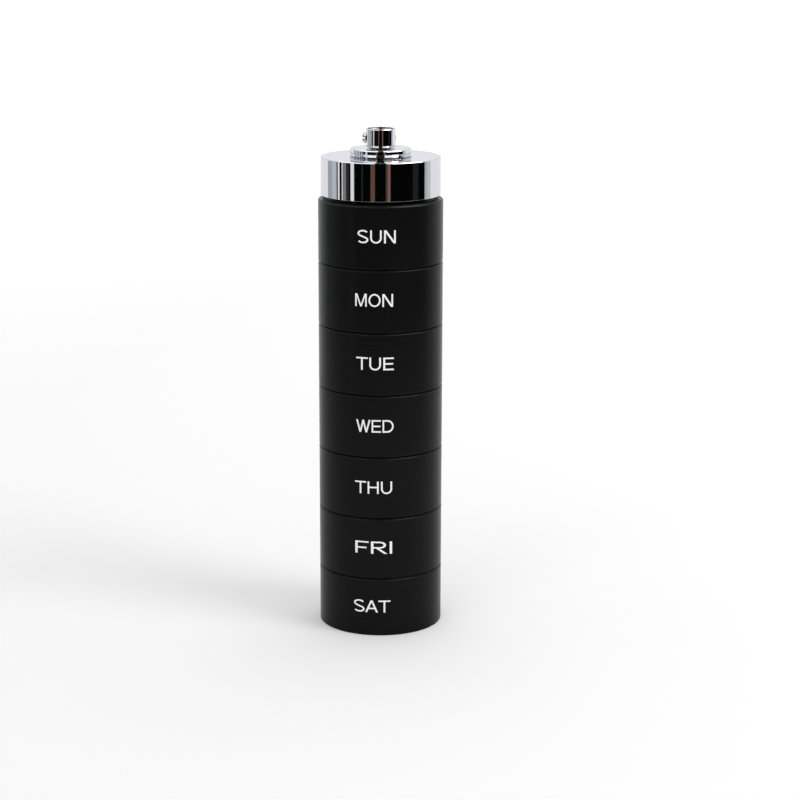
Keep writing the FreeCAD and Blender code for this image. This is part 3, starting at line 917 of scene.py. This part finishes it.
def thicken(ink, sizes):
    """Cuts flat plates into upright slices, welds what nearly meets, and gives them depth."""
    slices = math.ceil(sizes.label_width / sizes.slice_width)
    for cut in (np.arange(1, slices) / slices - 0.5) * sizes.label_width:
        bmesh.ops.bisect_plane(
            ink, geom=[*ink.verts, *ink.edges, *ink.faces],
            plane_co=(cut, 0, 0), plane_no=(1, 0, 0))
    bmesh.ops.remove_doubles(ink, verts=ink.verts, dist=sizes.weld)
    stray = [edge for edge in ink.edges if not edge.link_faces]
    bmesh.ops.delete(ink, geom=stray, context="EDGES")
    back = bmesh.ops.extrude_face_region(ink, geom=ink.faces[:])["geom"]
    moved = [part for part in back if isinstance(part, bmesh.types.BMVert)]
    bmesh.ops.translate(ink, verts=moved, vec=(0, sizes.ink_depth, 0))
    bmesh.ops.recalc_face_normals(ink, faces=ink.faces)


def ink_mesh(name, word, middle, turn, sizes):
    """The word's plates laid round the cup.

    A point goes to the angle turn + x / radius from the front, and to the radius that stands
    proud of the cup less y.
    """
    mesh = bpy.data.meshes.new(name)
    ink = flat_ink(mesh, word, sizes)
    thicken(ink, sizes)
    ink.to_mesh(mesh)
    ink.free()
    spots = np.empty(len(mesh.vertices) * 3)
    mesh.vertices.foreach_get("co", spots)
    x, y, z = spots.reshape(-1, 3).T
    around = math.radians(turn) + x / cup_radius()
    reach = cup_radius() + sizes.ink_proud - y
    laid = np.stack([reach * np.sin(around), -reach * np.cos(around), middle + z], axis=-1)
    mesh.vertices.foreach_set("co", laid.reshape(-1))
    mesh.update()
    return mesh


# ------------------------------------------------------------------ finishes

NOISE_RANGE = (0.3, 0.7)                     # where almost all noise lies
MIX_FIRST, MIX_SECOND, MIX_RESULT = 6, 7, 2  # a Mix node's sockets for colours


def scaled(tint, level):
    """A colour whose channels are all multiplied by the level."""
    return tuple(channel * level for channel in tint)


def new_finish(name, **constants):
    """A material with one Principled shader, and its object coordinates."""
    material = bpy.data.materials.new(name)
    material.use_nodes = True
    tree = material.node_tree
    shader = tree.nodes["Principled BSDF"]
    for socket, value in constants.items():
        shader.inputs[socket.replace("_", " ")].default_value = value
    place = tree.nodes.new("ShaderNodeTexCoord").outputs["Object"]
    return material, tree, shader, place


def set_input(tree, socket, value):
    """Links another node's output to the socket, or sets a number, vector or colour."""
    if isinstance(value, bpy.types.NodeSocket):
        tree.links.new(value, socket)
    else:
        socket.default_value = value


def add(tree, kind, inputs, **settings):
    """A node with its settings and its inputs."""
    made = tree.nodes.new(kind)
    for key, value in settings.items():
        setattr(made, key, value)
    for socket, value in inputs.items():
        set_input(tree, made.inputs[socket], value)
    return made


def maths(tree, operation, first, second):
    """What one arithmetic operation makes of two values."""
    return add(tree, "ShaderNodeMath", {0: first, 1: second}, operation=operation).outputs[0]


def noise(tree, place, scale, detail=2.0, stretch=(1, 1, 1)):
    """Noise on stretched object coordinates, from 0 to 1."""
    spread = add(tree, "ShaderNodeMapping", {"Vector": place, "Scale": stretch})
    return add(tree, "ShaderNodeTexNoise", {
        "Vector": spread.outputs["Vector"], "Scale": scale, "Detail": detail}).outputs["Fac"]


def ranged(tree, source, low, high, reach=NOISE_RANGE):
    """A value stretched from its own reach to run from low to high."""
    return add(tree, "ShaderNodeMapRange", {
        "Value": source, "From Min": reach[0], "From Max": reach[1],
        "To Min": low, "To Max": high}).outputs["Result"]


def mixed(tree, part, first, second):
    """A colour that part of the way from the first to the second, as triples or outputs."""
    mix = add(tree, "ShaderNodeMix", {"Factor": part}, data_type="RGBA")
    for index, value in ((MIX_FIRST, first), (MIX_SECOND, second)):
        ready = value if isinstance(value, bpy.types.NodeSocket) else (*value, 1)
        set_input(tree, mix.inputs[index], ready)
    return mix.outputs[MIX_RESULT]


def bumps(height, depth, strength):
    """One layer of bumps: height from 0 to 1, depth in metres at 1, and strength."""
    return {"Height": height, "Distance": depth, "Strength": strength}


def dress(tree, shader, tint, roughness, *layers):
    """Links a colour, a roughness and layers of bumps, each on the last, to the shader."""
    tree.links.new(tint, shader.inputs["Base Color"])
    tree.links.new(roughness, shader.inputs["Roughness"])
    below = {}
    for layer in layers:
        below = {"Normal": add(tree, "ShaderNodeBump", layer | below).outputs["Normal"]}
    tree.links.new(below["Normal"], shader.inputs["Normal"])


def wear_and_highlight_share(tree, place, most):
    """The piece's own edge mask, broken up by noise, up to the given share: rubbed edges, which on
    the black cups also carry a painted highlight.
    """
    wear_and_highlight = add(tree, "ShaderNodeAttribute", {}, attribute_name="wear_and_highlight").outputs["Fac"]
    patchy = ranged(tree, noise(tree, place, scale=260, detail=4.0), low=0.2, high=most)
    return maths(tree, "MULTIPLY", wear_and_highlight, patchy)


def satin_black(f):
    """Black anodised aluminium: blasted grain over faint turning lines, edges rubbed paler and
    also painted paler as a painted highlight.
    """
    material, tree, shader, place = new_finish(
        "satin_black", Specular_IOR_Level=f.anodised_specular)
    cloudy = ranged(tree, noise(tree, place, scale=90, detail=3.0), low=0.0, high=0.03)
    even = mixed(tree, cloudy, f.anodised_colour, f.anodised_worn_and_highlight)
    # Painted highlight: the eased edges take the pale colour, partly rubbed metal and partly a
    # painted glint along the rims and seams.
    tint = mixed(tree, wear_and_highlight_share(tree, place, most=0.75), even, f.anodised_worn_and_highlight)
    grain = noise(tree, place, scale=9000)
    lines = noise(tree, place, scale=500, detail=3.0, stretch=(0.4, 0.4, 22))
    satin = ranged(tree, noise(tree, place, scale=60, detail=4.0),
                   low=f.anodised_roughness - 0.04, high=f.anodised_roughness + 0.04)
    combed = ranged(tree, lines, low=-0.02, high=0.02)
    dress(tree, shader, tint, maths(tree, "ADD", satin, combed),
          bumps(grain, depth=8e-6, strength=0.35), bumps(lines, depth=5e-6, strength=0.15))
    return material


def day_ink(f):
    """White pad-printed ink: matt, with a fine grain and a slightly uneven cover."""
    material, tree, shader, place = new_finish("day_ink", Specular_IOR_Level=0.3)
    grain = noise(tree, place, scale=14000)
    cover = ranged(tree, grain, low=0, high=1)
    tint = mixed(tree, cover, scaled(f.ink_colour, 0.94), f.ink_colour)
    matt = ranged(tree, noise(tree, place, scale=1500), low=0.5, high=0.65)
    dress(tree, shader, tint, matt, bumps(grain, depth=4e-6, strength=0.4))
    return material


def mirror_chrome(f):
    """Polished chrome plate: a mirror with faint ripples, handling haze and rubbed edges.

    Below the seam under the cap, its screw part is painted near black: painted shade in that seam.
    """
    material, tree, shader, place = new_finish(
        "mirror_chrome", Metallic=1.0, Specular_Tint=(*f.chrome_edge, 1))
    worn = wear_and_highlight_share(tree, place, most=0.5)
    plate = mixed(tree, worn, f.chrome_colour, scaled(f.chrome_colour, 0.86))
    foot = rim_of(DAYS[-1]) + bpy.context.scene.pill_cap.cap_gap
    height = add(tree, "ShaderNodeSeparateXYZ", {"Vector": place}).outputs["Z"]
    # Painted shade: all below the cap's foot is painted near black.
    in_seam_shade = maths(tree, "LESS_THAN", height, foot)
    haze = ranged(tree, noise(tree, place, scale=70, detail=5.0),
                  low=f.chrome_roughness * 0.6, high=f.chrome_roughness * 1.8)
    ripple = noise(tree, place, scale=220, detail=1.0)
    hairline = noise(tree, place, scale=900, stretch=(1, 1, 14))
    dress(tree, shader, mixed(tree, in_seam_shade, plate, f.seam_shade_colour), haze,
          bumps(ripple, depth=2e-5, strength=0.05), bumps(hairline, depth=2e-6, strength=0.06))
    return material


def ring_rubber(f):
    """Black nitrile rubber: matt, with a moulded skin and a dusting of talc."""
    material, tree, shader, place = new_finish("ring_rubber", Specular_IOR_Level=0.3)
    dust = ranged(tree, noise(tree, place, scale=700, detail=5.0), low=0.0, high=0.5)
    tint = mixed(tree, dust, f.rubber_colour, scaled(f.rubber_colour, 3.0))
    matt = ranged(tree, noise(tree, place, scale=400), low=0.50, high=0.72)
    skin = noise(tree, place, scale=3500, detail=3.0)
    dress(tree, shader, tint, matt, bumps(skin, depth=1.5e-5, strength=0.4))
    return material


def machined_metal(name, tint, roughness, scale, stretch, depth):
    """Bare metal with tool marks: noise drawn out along the cut, in roughness and height."""
    material, tree, shader, place = new_finish(name, Metallic=1.0)
    marks = noise(tree, place, scale, detail=3.0, stretch=stretch)
    stains = ranged(tree, noise(tree, place, scale=300, detail=4.0), low=0, high=1)
    dress(tree, shader, mixed(tree, stains, scaled(tint, 0.80), tint),
          ranged(tree, marks, low=roughness * 0.7, high=roughness * 1.4),
          bumps(marks, depth, strength=0.35))
    return material


def bright_steel(f):
    """The screw's steel, polished along its shank."""
    return machined_metal(
        "bright_steel", f.steel_colour, roughness=0.13, scale=900, stretch=(1, 6, 6), depth=2e-6)


def dull_steel(f):
    """The washer's and the clip's steel, as it was rolled."""
    return machined_metal(
        "dull_steel", f.spring_colour, roughness=0.30, scale=700, stretch=(8, 1, 1), depth=4e-6)


def turned_aluminium(f):
    """Bare turned aluminium: fine rings round the axis, left by the facing tool."""
    material, tree, shader, place = new_finish("turned_aluminium", Metallic=1.0)
    rings = add(tree, "ShaderNodeTexWave", {
        "Vector": place, "Scale": 900, "Distortion": 1.2, "Detail": 2.0, "Detail Scale": 3.0,
    }, wave_type="RINGS", rings_direction="Z").outputs["Fac"]
    cloudy = noise(tree, place, scale=350, detail=4.0)
    clean = ranged(tree, cloudy, low=0, high=1)
    tint = mixed(tree, clean, scaled(f.aluminium_colour, 0.85), f.aluminium_colour)
    dress(tree, shader, tint, ranged(tree, cloudy, low=0.26, high=0.40),
          bumps(rings, depth=4e-6, strength=0.5))
    return material


FINISHES = {maker.__name__: maker for maker in (
    satin_black, day_ink, mirror_chrome, ring_rubber, bright_steel, dull_steel,
    turned_aluminium)}


def finish(name):
    """The material of that name, made on first use."""
    ready = bpy.data.materials.get(name)
    return ready or FINISHES[name](bpy.context.scene.pill_finish)


def refinish(nodes, name):
    """Gives packed nodes that keep their shape a finish of their own."""
    for node in nodes:
        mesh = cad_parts[node].data
        mesh.materials.clear()
        mesh.materials.append(finish(name))


# ------------------------------------------------------------------ stage

WHITE = (1.0, 1.0, 1.0)

# Across the floor from the left front to the right back, one unit long: the way that the floor's
# painted light rises.
PAINTED_LIGHT_WAY = (0.989, 0.148, 0)

# Each lamp: name, azimuth from the camera's side (90 is to its right), elevation and spread
# in degrees, what it adds to a white floor, and whether gloss shows it.
LAMPS = (
    ("lamp_right", 62, 38, 30, 0.17, True),
    ("lamp_left", -25, 40, 40, 0.07, False),
    ("lamp_back", 172, 62, 50, 0.14, False),
)

# The dark half of the room, and what is paler in it: name, first and last azimuth in
# degrees, brightness and tint.
DARK_ROOM = ("room_dark", -90.6, 91.6, 0.002, WHITE)
PALE_STRIPS = (
    ("wall_left_far", -117.8, -104.0, 0.53, (0.88, 0.94, 1.0)),
    ("wall_left", -104.0, -90.7, 0.70, (0.88, 0.94, 1.0)),
    ("wall_right", 91.7, 98.0, 0.57, (0.97, 0.98, 1.0)),
    ("wall_right_far", 98.0, 109.0, 0.74, (0.97, 0.98, 1.0)),
    ("strip_bright", -87.2, -82.8, 1.00, WHITE),
    ("strip_thin", -77.3, -75.2, 1.00, (1.0, 0.98, 0.98)),
    ("strip_mauve", -75.1, -67.4, 0.27, (1.0, 0.90, 0.94)),
    ("strip_grey", -67.3, -61.4, 0.035, (1.0, 0.95, 0.95)),
    ("strip_wide", -57.4, -50.3, 1.00, WHITE),
    ("strip_blue", -35.2, -32.8, 0.03, (0.85, 0.92, 1.0)),
    ("strip_brown", -18.1, -10.1, 0.14, (1.0, 0.62, 0.42)),
    ("strip_dim_red", 10.0, 13.4, 0.09, (1.0, 0.56, 0.44)),
    ("strip_red", 13.5, 18.6, 0.24, (1.0, 0.60, 0.50)),
    ("strip_faint", 63.0, 75.5, 0.020, (0.9, 1.0, 1.0)),
)

# The soft boxes overhead: name, sides, depths and height in millimetres, and brightness.
SOFT_BOXES = (
    ("softbox_right", (70, 290), (-110, 150), 400, 6.0),
    ("softbox_left", (-290, -70), (-110, 150), 400, 1.7),
    ("softbox_front", (-290, 290), (-330, -10), 405, 1.7),
)

# The dark ridge that hangs under them: brightness and tint.
RIDGE_GLOW = (0.015, (1.0, 0.7, 0.6))


def plain_glow(name, strength, tint):
    """A surface that only glows, for screens and cards."""
    material = bpy.data.materials.new(name)
    material.use_nodes = True
    tree = material.node_tree
    tree.nodes.clear()
    glow = add(tree, "ShaderNodeEmission", {"Color": (*tint, 1), "Strength": strength})
    out = tree.nodes.new("ShaderNodeOutputMaterial")
    tree.links.new(glow.outputs[0], out.inputs["Surface"])
    return material


def seen_or_mirrored(tree):
    """1 for rays from the camera, off gloss or through glass, else 0."""
    path = tree.nodes.new("ShaderNodeLightPath").outputs
    either = maths(tree, "MAXIMUM", path["Is Camera Ray"], path["Is Glossy Ray"])
    return maths(tree, "MAXIMUM", either, path["Is Transmission Ray"])


def staged_sheet(name, grid, facing, material):
    """A thin staged surface over a grid of points, whose normals point up, or down for -1."""
    normals = np.zeros_like(grid)
    normals[..., UP] = facing
    mesh = mesh_of(name, [(grid, normals, np.zeros(grid.shape[:2]))])
    mesh.materials.append(material)
    sheet = shown(name, mesh)
    return sheet


def mirrored_only(sheet):
    """Lets mirrors see a sheet, and neither the camera nor any other light."""
    sheet.visible_camera = False
    sheet.visible_diffuse = False
    sheet.visible_transmission = False
    sheet.visible_shadow = False


def curved_screen(name, azimuths, distance, height, material):
    """Part of an upright cylinder: (d sin a, -d cos a, z) over azimuth a and height z.

    Azimuth 0 is towards the camera and 90 to its right. A step is about one degree.
    """
    first, last = azimuths
    a = np.radians(np.linspace(first, last, 2 + round(last - first)))
    z = np.array([[0.0], [height]])
    grid = np.stack([
        distance * np.sin(a) + 0 * z, -distance * np.cos(a) + 0 * z, z + 0 * a], axis=-1)
    mirrored_only(staged_sheet(name, grid, 1, material))


def overhead(name, sides, depths, height, material, flare=1.0):
    """A level card above: (x, y, height) for x over its two sides and y over its depths.

    The sides' x is multiplied by the flare at the front end.
    """
    x, y = np.meshgrid(sides, depths, indexing="ij")
    grid = np.stack([x * [flare, 1.0], y, np.full_like(y, height)], axis=-1)
    mirrored_only(staged_sheet(name, grid, -1, material))


def floor_finish(stage):
    """The pale table top, which glows a little where it is seen.

    The glow rises across the floor, a painted light that is dimmer at the left front and brighter
    at the right back, and far from the stack it rises to the room's white.
    """
    material, tree, shader, place = new_finish(
        "table_top", Roughness=0.9, Specular_IOR_Level=0.0, Emission_Color=(*WHITE, 1))
    mottled = ranged(tree, noise(tree, place, scale=6), low=0.0, high=1.0)
    tint = mixed(tree, mottled, scaled(stage.floor_colour, 0.995), stage.floor_colour)
    tree.links.new(tint, shader.inputs["Base Color"])
    # Painted light: the glow rises from the left front to the right back.
    along = add(tree, "ShaderNodeVectorMath", {0: place, 1: PAINTED_LIGHT_WAY}, operation="DOT_PRODUCT")
    glow = ranged(tree, along.outputs["Value"], low=stage.near_painted_light, high=stage.far_painted_light,
                  reach=(-stage.painted_light_reach, stage.painted_light_reach))
    away = add(tree, "ShaderNodeVectorMath", {0: place}, operation="LENGTH")
    fade = ranged(tree, away.outputs["Value"], low=0.0, high=1.0 - stage.room_light,
                  reach=(stage.fade_start, stage.fade_end))
    glow = maths(tree, "MAXIMUM", glow, fade)
    lit = maths(tree, "MULTIPLY", seen_or_mirrored(tree), glow)
    tree.links.new(lit, shader.inputs["Emission Strength"])
    return material


def lay_floor(stage):
    """A square sheet at height 0: (x, y, 0) over both sides."""
    side = np.array([-1, 1]) * stage.floor_size / 2
    x, y = np.meshgrid(side, side)
    staged_sheet("table_top", np.stack([x, y, 0 * x], axis=-1), 1, floor_finish(stage))


def light_room(stage):
    """White where it is seen or mirrored, and the room's own level elsewhere."""
    world = bpy.data.worlds.new("room")
    world.use_nodes = True
    tree = world.node_tree
    ground = tree.nodes["Background"]
    ground.inputs["Color"].default_value = (*WHITE, 1)
    level = ranged(
        tree, seen_or_mirrored(tree), low=stage.room_light, high=1.0, reach=(0.0, 1.0))
    tree.links.new(level, ground.inputs["Strength"])
    bpy.context.scene.world = world


def soft_lamp(name, azimuth, elevation, spread, level, mirrored):
    """A far, wide lamp: level is what it adds to a white floor."""
    lamp = bpy.data.lights.new(name, "SUN")
    lamp.angle = math.radians(spread)
    lamp.energy = math.pi * level / math.sin(math.radians(elevation))
    hung = shown(name, lamp)
    hung.rotation_euler = (math.radians(90 - elevation), 0, math.radians(azimuth))
    hung.visible_glossy = mirrored


def place_screens(stage):
    """What gloss sees of the room: dark in front with paler strips, and cards overhead."""
    for distance, screens in (
            (stage.screen_distance, (DARK_ROOM,)), (stage.strip_distance, PALE_STRIPS)):
        for name, first, last, level, tint in screens:
            curved_screen(name, (first, last), distance, stage.screen_height,
                          plain_glow(name, level, tint))
    half = stage.ridge_width / 2
    overhead("ridge", (-half, half), (-stage.ridge_front, -stage.ridge_back),
             stage.ridge_height, plain_glow("ridge", *RIDGE_GLOW), stage.ridge_flare)
    for name, sides, depths, height, level in SOFT_BOXES:
        overhead(name, np.multiply(sides, MM), np.multiply(depths, MM), height * MM,
                 plain_glow(name, level, WHITE))


def aim_camera(stage):
    """The camera stands in front, a little right of the axis, and looks down at the stack."""
    lens = bpy.data.cameras.new("camera")
    lens.lens = stage.lens
    lens.clip_start, lens.clip_end = stage.nearest, stage.farthest
    camera = shown("camera", lens)
    camera.location = (stage.camera_side, -stage.camera_distance, stage.camera_height)
    camera.rotation_mode = "ZYX"
    camera.rotation_euler = (math.pi / 2 - stage.camera_dip, 0, stage.camera_roll)
    bpy.context.scene.camera = camera


# ------------------------------------------------------------------ operators

class PILLSTACK_OT_cups(bpy.types.Operator):
    """Turns the seven cups with eased edges and both threads of every joint"""
    bl_idname = "pill_stack.cups"
    bl_label = "Turn cups"

    def execute(self, context):
        s, thread = context.scene.pill_cups, context.scene.pill_thread
        shapes = [base_cup(rim_of(DAYS[0]), s)] + [
            day_cup(tip_of(day), rim_of(day), rim_of(below), f"{day}_seal_ring", s, thread)
            for below, day in zip(DAYS, DAYS[1:])]
        for day, (corners, rims) in zip(DAYS, shapes):
            mesh = turned(f"{day}_cup_shell", corners, rims)
            stand_in(f"{day}_cup_shell", mesh, f"{day}_cup", day, "satin_black")
        return {"FINISHED"}


class PILLSTACK_OT_labels(bpy.types.Operator):
    """Prints the day on each cup"""
    bl_idname = "pill_stack.labels"
    bl_label = "Print days"

    def execute(self, context):
        sizes, s = context.scene.pill_labels, context.scene.pill_cups
        for day, (word, turn, lift) in DAY_MARKS.items():
            foot = tip_of(day) + (0 if day == DAYS[0] else boss_length(s))
            middle = (foot + rim_of(day)) / 2 + lift * MM
            mesh = ink_mesh(f"{day}_label", word, middle, turn, sizes)
            mesh.materials.append(finish("day_ink"))
            label = shown(f"{day}_label", mesh)
            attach(label, day)
        return {"FINISHED"}


class PILLSTACK_OT_cap(bpy.types.Operator):
    """Turns the chrome screw cap and the swivel disc on it"""
    bl_idname = "pill_stack.cap"
    bl_label = "Turn cap and disc"

    def execute(self, context):
        s, thread = context.scene.pill_cups, context.scene.pill_thread
        cap = context.scene.pill_cap
        rims = {BOSS_THREAD: rim_of(DAYS[-1])}
        mesh = turned("cap_shell", screw_cap(s, thread, cap), rims, closed=True)
        stand_in("cap_shell", mesh, "chrome_cap", "cap", "mirror_chrome")
        mesh = turned("swivel_disc", swivel_disc(cap), closed=True)
        stand_in("swivel_disc", mesh, "swivel_flange", "cap", "mirror_chrome")
        return {"FINISHED"}


class PILLSTACK_OT_stud(bpy.types.Operator):
    """Turns the swivel stud and bores it across for its screw"""
    bl_idname = "pill_stack.stud"
    bl_label = "Turn stud"

    def execute(self, context):
        stud = context.scene.pill_stud
        mesh = cut_away(turned("bored_stud", swivel_stud(stud)), cross_cutter(stud))
        stand_in("bored_stud", mesh, "swivel_stud", "swivel", "mirror_chrome")
        return {"FINISHED"}


class PILLSTACK_OT_small_pieces(bpy.types.Operator):
    """Finishes the screw, plug, washer, clip and rubber rings, whose shapes stay"""
    bl_idname = "pill_stack.small_pieces"
    bl_label = "Finish small pieces"

    def execute(self, context):
        refinish(["cross_screw"], "bright_steel")
        refinish(["cap_plug"], "turned_aluminium")
        refinish(["thrust_washer", "retaining_clip"], "dull_steel")
        refinish([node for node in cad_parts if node.endswith("_seal_ring")], "ring_rubber")
        return {"FINISHED"}


class PILLSTACK_OT_stage(bpy.types.Operator):
    """Lays the floor, lights the room, places the screens and aims the camera"""
    bl_idname = "pill_stack.stage"
    bl_label = "Set stage"

    def execute(self, context):
        stage = context.scene.pill_stage
        lay_floor(stage)
        light_room(stage)
        for lamp in LAMPS:
            soft_lamp(*lamp)
        place_screens(stage)
        aim_camera(stage)
        context.scene.view_settings.view_transform = "Standard"
        return {"FINISHED"}


class PILLSTACK_PT_panel(bpy.types.Panel):
    """Lists the steps and the sizes that a user would change"""
    bl_idname = "PILLSTACK_PT_panel"
    bl_label = "Pill Stack"
    bl_space_type = "VIEW_3D"
    bl_region_type = "UI"
    bl_category = "Pill Stack"

    def draw(self, context):
        for operator in OPERATORS:
            self.layout.operator(operator.bl_idname)
        for name, group in GROUPS.items():
            box = self.layout.box()
            box.label(text=group.__doc__)
            for key in group.__annotations__:
                box.prop(getattr(context.scene, name), key)


OPERATORS = (
    PILLSTACK_OT_cups, PILLSTACK_OT_labels, PILLSTACK_OT_cap, PILLSTACK_OT_stud,
    PILLSTACK_OT_small_pieces, PILLSTACK_OT_stage,
)
GROUPS = {
    "pill_cups": CupSizes,
    "pill_thread": ThreadSizes,
    "pill_cap": CapSizes,
    "pill_stud": StudSizes,
    "pill_labels": LabelSizes,
    "pill_finish": FinishSettings,
    "pill_stage": StageSettings,
}
CLASSES = tuple(GROUPS.values()) + OPERATORS + (PILLSTACK_PT_panel,)


def register():
    """Adds the classes, and one group of settings of each kind to the scene."""
    for cls in CLASSES:
        bpy.utils.register_class(cls)
    for name, group in GROUPS.items():
        setattr(bpy.types.Scene, name, bpy.props.PointerProperty(type=group))


def unregister():
    """Takes away what register added."""
    for name in GROUPS:
        delattr(bpy.types.Scene, name)
    for cls in reversed(CLASSES):
        bpy.utils.unregister_class(cls)


def main():
    """Makes the pieces and the stage in order."""
    register()
    bpy.ops.pill_stack.cups()
    bpy.ops.pill_stack.labels()
    bpy.ops.pill_stack.cap()
    bpy.ops.pill_stack.stud()
    bpy.ops.pill_stack.small_pieces()
    bpy.ops.pill_stack.stage()


if __name__ == "__main__":
    main()
